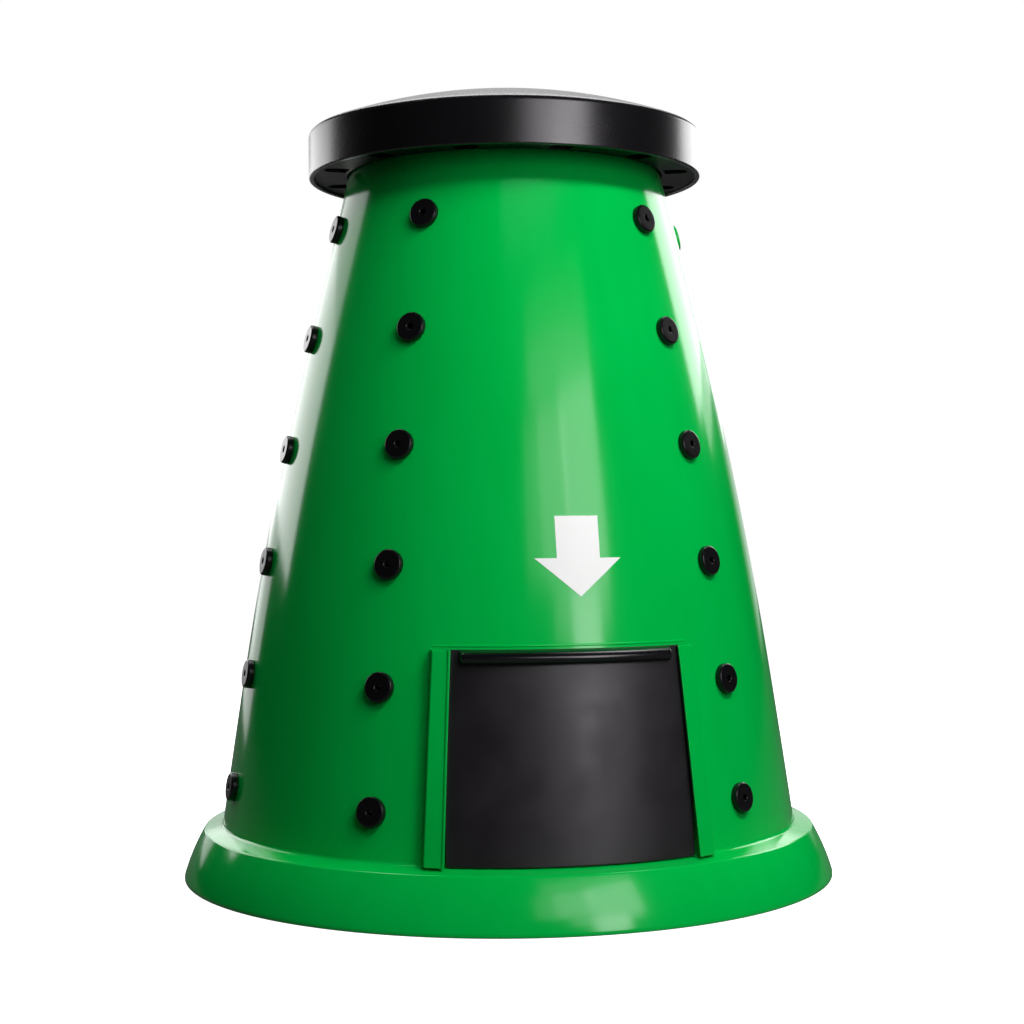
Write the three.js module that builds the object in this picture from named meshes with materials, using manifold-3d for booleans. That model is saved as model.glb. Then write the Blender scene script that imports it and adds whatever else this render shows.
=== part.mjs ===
// Compost bin: a round tapered body on a flared foot, a lift-off vented lid, a harvest door
// that slides up between two guides, and rows of vent plugs in the wall.
// Millimetres, +Z up, the ground at z = 0 and the door facing -Y.
// Angles round the bin are counted from -Y towards +X.
import * as THREE from "three";
import { mergeVertices } from "three/addons/utils/BufferGeometryUtils.js";
import Module from "manifold-3d";

const wasm = await Module();
wasm.setup();

// Fits shared by several pieces
const clearance = 0.3;
const slide = 0.8;
const overrun = 6;
const weld = 0.001;

// Body wall
const bodyHeight = 890;
const wall = 4;
const wallBulge = 14.6;

// Foot: a skirt that flares from the ledge to a flat ring on the ground
const footRadius = 400;
const footHeight = 65;
const footReach = 46.5;
const ledgeWidth = 22;
const ledgeFall = 5;
const ledgeRound = 4;
const footRingWidth = 24;
const footRingThickness = 8;
const skirtHeightShares = [0.27, 0.67];
const skirtFlareShares = [0.33, 0.75];

// Lid cap
const lidRadius = 244;
const lidOverhang = 57;
const lidOverlap = 32;
const lidSideHeight = 49.5;
const lidEdgeRound = 7.5;
const lidDomeRise = 45;
const lidWall = 3.5;
const lidLipWidth = 6;
const lidLipHeight = 3;
const lidBead = 2;

// Vent plate under the cap
const ventPlateThickness = 4;
const ventSlotCount = 12;
const ventSlotWidth = 26;
const ventSlotMargin = 8;
const ventSlotTurn = 6;
const collarPlay = 2;
const spigotDepth = 16;
const spigotWall = 3;

// Harvest door
const doorTop = 295;
const doorHalfWidth = 139;
const doorThickness = 4;
const doorStandoff = 2;
const doorCornerRound = 3;
const doorCover = 17;
const openingCornerRound = 22;

// Pull bar across the top of the door
const barHeight = 16;
const barDepth = 12;
const barHalfWidth = 119.5;
const barDrop = 0.5;

// Door guides, their width and their gap to the door given at the door's foot
const guideWidth = 20.6;
const guideGap = 3.05;
const guideLip = 5;
const guideLift = 3;
const guideStudRadius = 4;
const guideStudReach = 6;
const guideStudHeightShares = [0.2, 0.8];

// Vent plugs: a column beside each guide, and the others in equal turns from the left one round the back
const plugRows = 6;
const plugFirstHeight = 118.5;
const plugTopDrop = 103;
const plugGuideGap = 34.5;
const plugColumns = 7;
const plugColumnTurn = 45;
const plugRadius = 17;
const plugThickness = 8;
const plugBevel = 2.4;
const plugStemRadius = 8;
const plugStemReach = 6;
const plugBoreRadius = 3.6;

// Steps of the round forms
const bodySegments = 48;
const doorSegments = 96;
const plugSegments = 10;
const wallSteps = 7;
const domeSteps = 4;
const roundSteps = 3;

const toRadians = THREE.MathUtils.degToRad;

// The wall's outside where it meets the foot and the lid
const wallFootRadius = footRadius - footReach;
const neckRadius = lidRadius - lidOverhang;

// Radius of the wall's outside at a height: a straight cone with a swell of half a sine wave.
function wallRadius(height) {
  const share = (height - footHeight) / (bodyHeight - footHeight);
  return THREE.MathUtils.lerp(wallFootRadius, neckRadius, share) + wallBulge * Math.sin(Math.PI * share);
}

// How far the wall leans in at a height, as an angle from upright.
function wallLean(height) {
  const rise = bodyHeight - footHeight;
  const swell = wallBulge * Math.PI * Math.cos((Math.PI * (height - footHeight)) / rise);
  return Math.atan2(wallFootRadius - neckRadius - swell, rise);
}

const point = (radius, height) => new THREE.Vector2(radius, height);

// A closed geometry as a solid that can be joined and cut.
function solidOf(geometry) {
  const bare = geometry.clone();
  bare.deleteAttribute("normal");
  bare.deleteAttribute("uv");
  const merged = mergeVertices(bare, weld);
  const vertProperties = merged.getAttribute("position").array;
  const triVerts = new Uint32Array(merged.index.array);
  return new wasm.Manifold(new wasm.Mesh({ numProp: 3, vertProperties, triVerts }));
}

function geometryOf(solid) {
  const { vertProperties, triVerts } = solid.getMesh();
  const geometry = new THREE.BufferGeometry();
  geometry.setAttribute("position", new THREE.BufferAttribute(new Float32Array(vertProperties), 3));
  geometry.setIndex(new THREE.BufferAttribute(new Uint32Array(triVerts), 1));
  const flat = geometry.toNonIndexed();
  flat.computeVertexNormals();
  return flat;
}

// A closed outline of (radius, height) points, turned once round the z axis.
function ring(outline, segments) {
  const clockwise = THREE.ShapeUtils.isClockWise(outline);
  const upwards = clockwise ? outline.toReversed() : outline;
  return new THREE.LatheGeometry([...upwards, upwards[0]], segments).rotateX(Math.PI / 2);
}

// A front outline of (x, z) points, carried straight back from in front of the bin to its axis.
function frontPrism(shape) {
  const depth = footRadius + overrun;
  const prism = new THREE.ExtrudeGeometry(shape, { depth, bevelEnabled: false, curveSegments: roundSteps });
  return prism.rotateX(Math.PI / 2);
}

function roundedOutline(halfWidth, bottom, top, corner) {
  const shape = new THREE.Shape();
  shape.absarc(halfWidth - corner, bottom + corner, corner, -Math.PI / 2, 0);
  shape.absarc(halfWidth - corner, top - corner, corner, 0, Math.PI / 2);
  shape.absarc(corner - halfWidth, top - corner, corner, Math.PI / 2, Math.PI);
  shape.absarc(corner - halfWidth, bottom + corner, corner, Math.PI, Math.PI + Math.PI / 2);
  return shape;
}

// A place on the wall's outside with its z axis pointing outwards, tipped up by a lean.
function outwardPlacing(angle, height, lean) {
  const placing = new THREE.Matrix4().makeRotationZ(angle);
  placing.multiply(new THREE.Matrix4().makeTranslation(0, -wallRadius(height), height));
  return placing.multiply(new THREE.Matrix4().makeRotationX(Math.PI / 2 - lean));
}

// A cylinder along a place's z axis, between two distances from the wall's outside.
function outwardCylinder(radius, from, to, placing, segments) {
  const cylinder = new THREE.CylinderGeometry(radius, radius, to - from, segments).rotateX(Math.PI / 2);
  return cylinder.translate(0, 0, (from + to) / 2).applyMatrix4(placing);
}

// Body

const crestRadius = wallFootRadius + ledgeWidth;
const crestHeight = footHeight - ledgeFall;

function wallOutline(inset, fromHeight, toHeight) {
  const points = [];
  for (let i = 0; i <= wallSteps; i++) {
    const height = THREE.MathUtils.lerp(fromHeight, toHeight, i / wallSteps);
    points.push(point(wallRadius(height) - inset, height));
  }
  return points;
}

// The skirt from the crest down, as radii that flare out to the foot's edge.
function skirtOutline(inset) {
  return skirtHeightShares.map((heightShare, i) =>
    point(
      THREE.MathUtils.lerp(crestRadius, footRadius, skirtFlareShares[i]) - inset,
      crestHeight * (1 - heightShare),
    ),
  );
}

function bodyOutline() {
  const ringInside = footRadius - footRingWidth;
  const ledgeUnderside = crestHeight - wall;
  return [
    point(ringInside, 0),
    point(footRadius, 0),
    ...skirtOutline(0).reverse(),
    point(crestRadius, crestHeight - ledgeRound),
    point(crestRadius - ledgeRound, crestHeight),
    ...wallOutline(0, footHeight, bodyHeight),
    ...wallOutline(wall, ledgeUnderside, bodyHeight).reverse(),
    point(crestRadius - ledgeRound - wall, ledgeUnderside - wall),
    ...skirtOutline(wall),
    point(footRadius - wall - wall, footRingThickness),
    point(ringInside, footRingThickness),
  ];
}

// What the wall and foot fill, grown by a gap, for cutting the pieces that lie on them.
function bodyEnvelope(gap) {
  return ring(
    [
      point(0, 0),
      point(crestRadius + gap, 0),
      point(crestRadius + gap, crestHeight + gap),
      ...wallOutline(-gap, footHeight + gap, bodyHeight),
      point(0, bodyHeight),
    ],
    bodySegments,
  );
}

// Door, guides and the slanted axis that they share

const doorBottom = footHeight + clearance + clearance;
const doorHeight = doorTop - doorBottom;
const doorLean = wallLean((doorTop + doorBottom) / 2);
const doorInside = wallRadius(doorBottom) + doorStandoff;
const doorOutside = doorInside + doorThickness;
const doorPlacing = new THREE.Matrix4()
  .makeTranslation(0, -wallRadius(doorBottom), doorBottom)
  .multiply(new THREE.Matrix4().makeRotationX(-doorLean))
  .multiply(new THREE.Matrix4().makeTranslation(0, wallRadius(doorBottom), 0));

// A curved slab round the door's axis: inner radius, then outer radius at its foot and at its top.
function doorSlab(inner, outerFoot, outerTop) {
  const low = -doorHeight / 2;
  const high = doorHeight + doorHeight / 2;
  const rise = (outerTop - outerFoot) / 2;
  const outline = [
    point(inner, low),
    point(outerFoot - rise, low),
    point(outerTop + rise, high),
    point(inner, high),
  ];
  return solidOf(ring(outline, doorSegments).applyMatrix4(doorPlacing));
}

function harvestDoor() {
  const front = solidOf(frontPrism(roundedOutline(doorHalfWidth, doorBottom, doorTop, doorCornerRound)));
  const panel = doorSlab(doorInside, doorOutside, doorOutside).intersect(front);
  const barTop = doorTop - barDrop;
  const barMiddle = barTop - barHeight / 2;
  const lean = (barMiddle - doorBottom) * Math.tan(doorLean);
  const outline = [];
  for (let i = 0; i <= roundSteps + roundSteps; i++) {
    const turn = (Math.PI * i) / (roundSteps + roundSteps) - Math.PI / 2;
    const radius = doorOutside + barDepth * Math.cos(turn);
    outline.push(point(radius, barMiddle + (barHeight / 2) * Math.sin(turn)));
  }
  const root = doorOutside - doorThickness / 2;
  outline.push(point(root, barTop), point(root, barTop - barHeight));
  const barRing = solidOf(ring(outline, doorSegments).translate(0, lean, 0));
  const barShape = roundedOutline(barHalfWidth, barTop - barHeight - overrun, barTop, doorCornerRound);
  return panel.add(barRing.intersect(solidOf(frontPrism(barShape))));
}

const grooveHalfWidth = doorHalfWidth + slide;
const guideInnerEdge = doorHalfWidth + guideGap;
const guideOuterEdge = guideInnerEdge + guideWidth;

// Where a guide's edge is at a height: it keeps the angle round the bin that it has at the door's foot.
function guideEdge(edge, height) {
  return (edge * wallRadius(height)) / wallRadius(doorBottom);
}

function guideStudPlacings(side) {
  return guideStudHeightShares.map((share) => {
    const height = doorBottom + doorHeight * share;
    const middle = guideEdge((guideInnerEdge + guideOuterEdge) / 2, height);
    return outwardPlacing(side * Math.asin(middle / wallRadius(height)), height, 0);
  });
}

// The plug columns' turns round the bin, the first two beside the guides.
function plugColumnTurns() {
  const besideGuide = guideOuterEdge + plugGuideGap + plugRadius;
  const first = Math.asin(besideGuide / wallRadius(doorBottom));
  const turns = [-first, first];
  for (let i = 1; i < plugColumns - 1; i++) {
    turns.push(-first - toRadians(plugColumnTurn) * i);
  }
  return turns;
}

function plugPlacings() {
  const placings = [];
  const spacing = (bodyHeight - plugTopDrop - plugFirstHeight) / (plugRows - 1);
  for (let row = 0; row < plugRows; row++) {
    const height = plugFirstHeight + row * spacing;
    for (const [column, turn] of plugColumnTurns().entries()) {
      const name = `vent_plug_r${row + 1}_c${column + 1}`;
      placings.push({ name, matrix: outwardPlacing(turn, height, wallLean(height)) });
    }
  }
  return placings;
}

// One guide: side 1 is on +X and side -1 on -X.
function doorGuide(side) {
  const shape = new THREE.Shape();
  shape.moveTo(side * guideInnerEdge, doorBottom);
  shape.lineTo(side * guideOuterEdge, doorBottom);
  shape.lineTo(side * guideEdge(guideOuterEdge, doorTop), doorTop);
  shape.lineTo(side * guideEdge(guideInnerEdge, doorTop), doorTop);
  const front = solidOf(frontPrism(shape));
  const grooveTop = doorOutside + slide;
  const lipTop = grooveTop + guideLip;
  const sweep = new THREE.Shape();
  sweep.moveTo(-grooveHalfWidth, 0);
  sweep.lineTo(grooveHalfWidth, 0);
  sweep.lineTo(grooveHalfWidth, bodyHeight);
  sweep.lineTo(-grooveHalfWidth, bodyHeight);
  const groove = doorSlab(doorInside - slide, grooveTop + guideLift, grooveTop)
    .intersect(solidOf(frontPrism(sweep)));
  let guide = doorSlab(wallRadius(doorTop) - wall, lipTop + guideLift, lipTop).intersect(front);
  guide = guide.subtract(solidOf(bodyEnvelope(clearance))).subtract(groove);
  for (const placing of guideStudPlacings(side)) {
    const reach = -wall - guideStudReach;
    const stud = outwardCylinder(guideStudRadius, reach, clearance + slide, placing, plugSegments);
    guide = guide.add(solidOf(stud));
  }
  return guide;
}

function bodyShell() {
  let shell = solidOf(ring(bodyOutline(), bodySegments));
  const inner = -wall - overrun;
  for (const { matrix } of plugPlacings()) {
    const hole = outwardCylinder(plugStemRadius + clearance, inner, overrun, matrix, plugSegments);
    shell = shell.subtract(solidOf(hole));
  }
  for (const placing of [...guideStudPlacings(1), ...guideStudPlacings(-1)]) {
    const hole = outwardCylinder(guideStudRadius + clearance, inner, overrun, placing, plugSegments);
    shell = shell.subtract(solidOf(hole));
  }
  const opening = roundedOutline(
    doorHalfWidth - doorCover,
    doorBottom + doorCover,
    doorTop - doorCover,
    openingCornerRound,
  );
  return shell.subtract(solidOf(frontPrism(opening)));
}

// Lid

const lidBottom = bodyHeight - lidOverlap;
const lidSideTop = lidBottom + lidSideHeight;
const domeSlope = Math.atan2(lidDomeRise + lidDomeRise, lidRadius - lidEdgeRound);
const domeRadius = lidRadius - lidEdgeRound * (1 - Math.sin(domeSlope));
const domeFoot = lidSideTop + lidEdgeRound * Math.cos(domeSlope);
const plateBottom = lidBottom + lidLipHeight + clearance;
const plateTop = plateBottom + ventPlateThickness;
const plateRadius = lidRadius - lidWall - clearance;

// The dome from the axis out to a radius, a wall's thickness below the outside.
function domeOutline(radius, inset) {
  const points = [];
  for (let i = 0; i <= domeSteps; i++) {
    const share = i / domeSteps;
    points.push(point(radius * share, domeFoot + lidDomeRise * (1 - share * share) - inset));
  }
  return points;
}

// The rounded edge from the side up to the dome, a wall's thickness below the outside.
function edgeOutline(inset) {
  const points = [];
  const round = lidEdgeRound - inset;
  for (let i = 0; i < roundSteps; i++) {
    const turn = ((Math.PI / 2 - domeSlope) * i) / roundSteps;
    const radius = lidRadius - lidEdgeRound + round * Math.cos(turn);
    points.push(point(radius, lidSideTop + round * Math.sin(turn)));
  }
  return points;
}

function lidCap() {
  const inside = lidRadius - lidWall;
  const beadBottom = plateTop + clearance;
  const outline = [
    ...domeOutline(domeRadius - lidWall * Math.sin(domeSlope), lidWall),
    ...edgeOutline(lidWall).reverse(),
    point(inside, beadBottom + lidBead + lidBead),
    point(inside - lidBead, beadBottom + lidBead),
    point(inside - lidBead, beadBottom),
    point(inside, beadBottom),
    point(inside, lidBottom + lidLipHeight),
    point(lidRadius - lidLipWidth, lidBottom + lidLipHeight),
    point(lidRadius - lidLipWidth, lidBottom),
    point(lidRadius, lidBottom),
    ...edgeOutline(0),
    ...domeOutline(domeRadius, 0).reverse(),
  ];
  return solidOf(new THREE.LatheGeometry(outline, bodySegments).rotateX(Math.PI / 2));
}

function lidVentPlate() {
  const seat = bodyHeight + clearance;
  const collarInside = wallRadius(plateBottom) + collarPlay;
  const collarOutside = collarInside + ventPlateThickness;
  const spigotOutside = neckRadius - wall - collarPlay;
  const spigotInside = spigotOutside - spigotWall;
  const seatTop = seat + ventPlateThickness;
  const outline = [
    point(collarInside, plateBottom),
    point(plateRadius, plateBottom),
    point(plateRadius, plateTop),
    point(collarOutside, plateTop),
    point(collarOutside, seatTop),
    point(spigotInside, seatTop),
    point(spigotInside, seat - spigotDepth),
    point(spigotOutside, seat - spigotDepth),
    point(spigotOutside, seat),
    point(collarInside, seat),
  ];
  let plate = solidOf(ring(outline, bodySegments));
  const slotInside = collarOutside + slide;
  const slotOutside = lidRadius - lidLipWidth - ventSlotMargin;
  for (let i = 0; i < ventSlotCount; i++) {
    const turn = toRadians(ventSlotTurn) + (Math.PI * 2 * i) / ventSlotCount;
    plate = plate.subtract(solidOf(ventSlot(slotInside, slotOutside).rotateZ(turn)));
  }
  return plate;
}

// A slot along -Y with a square inner end and a round outer end.
function ventSlot(inside, outside) {
  const half = ventSlotWidth / 2;
  const shape = new THREE.Shape();
  shape.moveTo(half, -inside);
  shape.lineTo(-half, -inside);
  shape.absarc(0, half - outside, half, Math.PI, Math.PI * 2);
  const depth = ventPlateThickness + overrun + overrun;
  const curveSegments = roundSteps + roundSteps;
  const slot = new THREE.ExtrudeGeometry(shape, { depth, bevelEnabled: false, curveSegments });
  return slot.translate(0, 0, plateBottom - overrun);
}

// Vent plug: a disc with a rounded rim and a stem through the wall, bored through.
function ventPlug() {
  const outline = [
    point(plugBoreRadius, plugThickness),
    point(plugRadius - plugBevel, plugThickness),
    point(plugRadius, plugThickness - plugBevel),
    point(plugRadius, clearance),
    point(plugStemRadius, clearance),
    point(plugStemRadius, -wall - plugStemReach),
    point(plugBoreRadius, -wall - plugStemReach),
  ];
  return ring(outline, plugSegments);
}

// Materials
const greenPlastic = { color: 0x00a03c, roughness: 0.28, metalness: 0 };
const blackPlastic = { color: 0x232125, roughness: 0.42, metalness: 0 };

const group = new THREE.Group();

function place(name, geometry, finish) {
  const mesh = new THREE.Mesh(geometry, new THREE.MeshStandardMaterial(finish));
  mesh.name = name;
  group.add(mesh);
  return mesh;
}

place("body_shell", geometryOf(bodyShell()), greenPlastic);
place("door_guide_right", geometryOf(doorGuide(1)), greenPlastic);
place("door_guide_left", geometryOf(doorGuide(-1)), greenPlastic);
place("harvest_door", geometryOf(harvestDoor()), blackPlastic);
place("lid_cap", geometryOf(lidCap()), blackPlastic);
place("lid_vent_plate", geometryOf(lidVentPlate()), blackPlastic);
const plugGeometry = ventPlug();
for (const { name, matrix } of plugPlacings()) {
  place(name, plugGeometry, blackPlastic).applyMatrix4(matrix);
}

export default group;
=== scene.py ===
import math

import bmesh
import bpy
import numpy as np
from mathutils import Matrix, Vector


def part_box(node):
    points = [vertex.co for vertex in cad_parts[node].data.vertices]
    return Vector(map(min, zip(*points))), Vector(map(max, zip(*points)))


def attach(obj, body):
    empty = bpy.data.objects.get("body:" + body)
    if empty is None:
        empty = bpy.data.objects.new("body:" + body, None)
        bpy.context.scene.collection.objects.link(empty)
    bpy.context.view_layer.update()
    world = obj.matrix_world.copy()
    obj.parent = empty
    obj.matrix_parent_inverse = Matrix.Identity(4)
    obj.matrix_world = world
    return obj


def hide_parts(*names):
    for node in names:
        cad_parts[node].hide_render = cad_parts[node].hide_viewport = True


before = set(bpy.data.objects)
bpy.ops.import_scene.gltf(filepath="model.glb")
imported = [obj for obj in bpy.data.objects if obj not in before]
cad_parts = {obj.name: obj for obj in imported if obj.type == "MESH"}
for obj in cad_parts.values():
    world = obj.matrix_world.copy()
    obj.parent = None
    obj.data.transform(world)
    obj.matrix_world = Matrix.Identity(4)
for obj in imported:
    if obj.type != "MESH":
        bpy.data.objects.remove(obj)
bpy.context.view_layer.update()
scene = bpy.context.scene
scene.view_settings.view_transform = "Standard"

# Camera

CAMERA_AZIMUTH = -12.0
CAMERA_DISTANCE = 2.329
CAMERA_HEIGHT = 0.4415
CAMERA_LENS = 65.29
CAMERA_TURN_RIGHT = 0.17
CAMERA_TILT_UP = 0.06
CAMERA_ROLL = 0.37


def around(azimuth):
    """The level unit vector from the bin's axis at an angle in degrees, from -Y towards +X."""
    turn = math.radians(azimuth)
    return Vector((math.sin(turn), -math.cos(turn), 0.0))


def make_camera():
    """A level camera at the photograph's height, turned and rolled by its small angles."""
    data = bpy.data.cameras.new("camera")
    data.lens = CAMERA_LENS
    data.sensor_width = 36.0
    data.clip_start = 0.05
    data.clip_end = 60.0
    ahead = -around(CAMERA_AZIMUTH)
    side = ahead.cross(Vector((0.0, 0.0, 1.0)))
    turn = math.radians(CAMERA_TURN_RIGHT)
    tilt = math.radians(CAMERA_TILT_UP)
    forward = (ahead * math.cos(turn) + side * math.sin(turn)) * math.cos(tilt)
    forward += Vector((0.0, 0.0, math.sin(tilt)))
    right = forward.cross(Vector((0.0, 0.0, 1.0))).normalized()
    up = right.cross(forward)
    roll = math.radians(CAMERA_ROLL)
    up = (up * math.cos(roll) + right * math.sin(roll)).normalized()
    right = forward.cross(up).normalized()
    place = Matrix((right, up, -forward)).transposed().to_4x4()
    place.translation = around(CAMERA_AZIMUTH) * CAMERA_DISTANCE + Vector((0.0, 0.0, CAMERA_HEIGHT))
    camera = bpy.data.objects.new("camera", data)
    camera.matrix_world = place
    scene.collection.objects.link(camera)
    scene.camera = camera


make_camera()

# Sizes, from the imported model's boxes where a box gives them

body_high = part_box("body_shell")[1]
lid_low, lid_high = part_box("lid_cap")
plate_low, plate_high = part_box("lid_vent_plate")
door_low, door_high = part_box("harvest_door")

FOOT_RADIUS = body_high[0]
RIM_HEIGHT = body_high[2]
WALL = 0.004
WALL_FOOT_RADIUS = 0.3535
NECK_RADIUS = 0.187
WALL_SWELL = 0.0146
FOOT_HEIGHT = 0.065
CREST_RADIUS = 0.3755
CREST_HEIGHT = 0.060
FLARE_BEND = 0.33
FOOT_RING_WIDTH = 0.024
FOOT_RING_THICKNESS = 0.008
FOOT_EDGE_HEIGHT = 0.0036
FOOT_RING_ROUND = 0.001
FOOT_EDGE_ROUNDS = [0.0026, 0.0012]
CREST_ROUND = 0.0034
LEDGE_ROUND = 0.0045
RIM_ROUND = 0.0014
INSIDE_ROUND = 0.002
CLEARANCE = 0.0003
SLIDE = 0.0008

LID_RADIUS = lid_high[0]
LID_BOTTOM = lid_low[2]
LID_SIDE = 0.0495
LID_EDGE_ROUND = 0.0075
LID_DOME_RISE = 0.045
LID_WALL = 0.0035
LID_LIP_WIDTH = 0.006
LID_LIP_HEIGHT = 0.003
LID_BEAD = 0.002
LID_FOOT_ROUND = 0.0016

PLATE_BOTTOM = plate_low[2]
PLATE_RADIUS = plate_high[0]
PLATE_SEAT_TOP = plate_high[2]
PLATE_THICKNESS = 0.004
SLOT_COUNT = 12
SLOT_WIDTH = 0.026
SLOT_TURN = 6.0
SLOT_MARGIN = 0.008
COLLAR_PLAY = 0.002
SPIGOT_DEPTH = 0.016
SPIGOT_WALL = 0.003
CUT_OVERRUN = 0.004

DOOR_HALF_WIDTH = door_high[0]
DOOR_BOTTOM = door_low[2]
DOOR_TOP = door_high[2]
DOOR_THICKNESS = 0.004
DOOR_STANDOFF = 0.002
DOOR_CORNER = 0.003
DOOR_FILLET = 0.0011
DOOR_COVER = 0.017
OPENING_CORNER = 0.022
BAR_HEIGHT = 0.016
BAR_DEPTH = 0.012
BAR_HALF_WIDTH = 0.1195
BAR_DROP = 0.0005
BAR_END = 0.0035
BAR_SINK = 0.0006
PROUD_OF_PANEL = 0.0002

RAIL_GAP = 0.00305
RAIL_WIDTH = 0.0206
RAIL_INNER_EDGE = DOOR_HALF_WIDTH + RAIL_GAP
RAIL_OUTER_EDGE = RAIL_INNER_EDGE + RAIL_WIDTH
RAIL_LIP = 0.005
RAIL_LIFT = 0.003
RAIL_RIDGE_WIDTH = 0.0030
RAIL_RIDGE_HEIGHT = 0.0014
RAIL_RIDGE_SLOPE = 0.0006
RAIL_FILLET = 0.0009
RAIL_END = 0.004
GROOVE_STEP = 0.0005
STUD_RADIUS = 0.004
STUD_REACH = 0.006
STUD_HEIGHTS = [DOOR_BOTTOM + (DOOR_TOP - DOOR_BOTTOM) * share for share in (0.2, 0.8)]

BEAD_HEIGHT = 0.0030
BEAD_PROUD = 0.0006
BEAD_SINK = 0.0004
BEAD_ROOT = 0.0012
BEAD_END_SHARE = 0.03
BEAD_END_HEIGHT_SHARE = 0.4
BEAD_RISE = 0.0036
BEAD_MIDDLE = DOOR_TOP + BEAD_RISE

BOSS_AZIMUTH = 82.0
BOSS_PROUD = 0.005
BOSS_SINK = 0.002
BOSS_ROUND = 0.0022

PLUG_RADIUS = 0.017
PLUG_THICKNESS = 0.008
PLUG_BEVEL = 0.0026
PLUG_STEM_RADIUS = 0.008
PLUG_STEM_REACH = 0.006
PLUG_BORE_RADIUS = 0.0036
PLUG_BORE_SINK = 0.0009

ARROW_AZIMUTH = 3.2
ARROW_TOP = 0.4392
ARROW_SHOULDER = 0.3928
ARROW_TIP = 0.3509
ARROW_SHAFT_HALF = 0.0248
ARROW_HEAD_HALF = 0.0497
ARROW_SINK = 0.0001
ARROW_PROUD = 0.00025


def wall_radius(height):
    """Outside radius of the wall at heights: a straight cone with a swell of half a sine wave."""
    share = (height - FOOT_HEIGHT) / (RIM_HEIGHT - FOOT_HEIGHT)
    return WALL_FOOT_RADIUS + (NECK_RADIUS - WALL_FOOT_RADIUS) * share + WALL_SWELL * np.sin(np.pi * share)


def wall_lean(height):
    """How far the wall leans in at a height, as an angle from upright."""
    rise = RIM_HEIGHT - FOOT_HEIGHT
    swell = WALL_SWELL * math.pi * math.cos(math.pi * (height - FOOT_HEIGHT) / rise)
    return math.atan2(WALL_FOOT_RADIUS - NECK_RADIUS - swell, rise)


DOOR_HINGE_RADIUS = float(wall_radius(DOOR_BOTTOM))
DOOR_LEAN = wall_lean((DOOR_TOP + DOOR_BOTTOM) / 2)
DOOR_INSIDE = DOOR_HINGE_RADIUS + DOOR_STANDOFF
DOOR_OUTSIDE = DOOR_INSIDE + DOOR_THICKNESS


def slide_face(x, z, radius):
    """The y of a round face about the door's leaning axis, seen from the front at x and z.
    The axis leaves the bin's own axis at the door's foot and leans back by the door's lean."""
    depth = DOOR_HINGE_RADIUS - np.sqrt(radius**2 - x**2)
    along = (z - DOOR_BOTTOM + depth * math.sin(DOOR_LEAN)) / math.cos(DOOR_LEAN)
    return depth * math.cos(DOOR_LEAN) + along * math.sin(DOOR_LEAN) - DOOR_HINGE_RADIUS


def wall_place(turn, height, lean=0.0):
    """A place on the wall's outside: x along the wall, y upwards, z outwards and tipped up by the lean."""
    radius = float(wall_radius(height))
    level = np.array([math.sin(turn), -math.cos(turn), 0.0])
    outward = level * math.cos(lean) + np.array([0.0, 0.0, math.sin(lean)])
    across = np.array([math.cos(turn), math.sin(turn), 0.0])
    place = np.eye(4)
    place[:3, 0], place[:3, 1], place[:3, 2] = across, np.cross(outward, across), outward
    place[:3, 3] = level * radius + np.array([0.0, 0.0, height])
    return place


# Mesh making

CREASE_ANGLE = math.radians(32.0)
MERGE_DISTANCE = 2e-6
ON_AXIS = 1e-5


def grid_faces(rows, columns, close_rows=False, close_columns=False):
    """Four-cornered faces between neighbours in a grid of points numbered row by row.
    A closed direction also joins its last line to its first."""
    row = np.arange(rows if close_rows else rows - 1)
    column = np.arange(columns if close_columns else columns - 1)
    r0, c0 = np.meshgrid(row, column, indexing="ij")
    r1, c1 = (r0 + 1) % rows, (c0 + 1) % columns
    corners = [r0 * columns + c0, r0 * columns + c1, r1 * columns + c1, r1 * columns + c0]
    return np.stack(corners, -1).reshape(-1, 4)


def loft_faces(rows, count):
    """Faces over rows of closed sections with count points each, the first and last section filled."""
    first = list(range(count))
    last = list(range(rows * count - 1, (rows - 1) * count - 1, -1))
    return [*grid_faces(rows, count, False, True).tolist(), first, last]


def sheet(sides):
    """The points and faces of a thin piece: its front and back grids, joined round their rim."""
    rows, columns = sides[0].shape[:2]
    count = rows * columns
    faces = grid_faces(rows, columns)
    index = np.arange(count).reshape(rows, columns)
    rim = np.concatenate([index[0, :-1], index[:-1, -1], index[-1, :0:-1], index[:0:-1, 0]])
    joined = np.stack([rim, np.roll(rim, -1), np.roll(rim, -1) + count, rim + count], -1)
    return np.vstack([s.reshape(-1, 3) for s in sides]), np.vstack([faces, faces[:, ::-1] + count, joined])


def smooth_with_creases(mesh):
    """Shades a mesh smooth and leaves its creases sharp."""
    mesh.shade_smooth()
    mesh.set_sharp_from_angle(angle=CREASE_ANGLE)


def solid_object(name, points, faces):
    """An object from points and faces, doubles merged, faces turned outwards, smooth but for its creases."""
    mesh = bpy.data.meshes.new(name)
    mesh.from_pydata(np.asarray(points, float).reshape(-1, 3).tolist(), [], [list(f) for f in faces])
    work = bmesh.new()
    work.from_mesh(mesh)
    bmesh.ops.remove_doubles(work, verts=work.verts, dist=MERGE_DISTANCE)
    bmesh.ops.dissolve_degenerate(work, edges=work.edges, dist=1e-6)
    bmesh.ops.recalc_face_normals(work, faces=work.faces)
    work.to_mesh(mesh)
    work.free()
    smooth_with_creases(mesh)
    piece = bpy.data.objects.new(name, mesh)
    scene.collection.objects.link(piece)
    return piece


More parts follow.
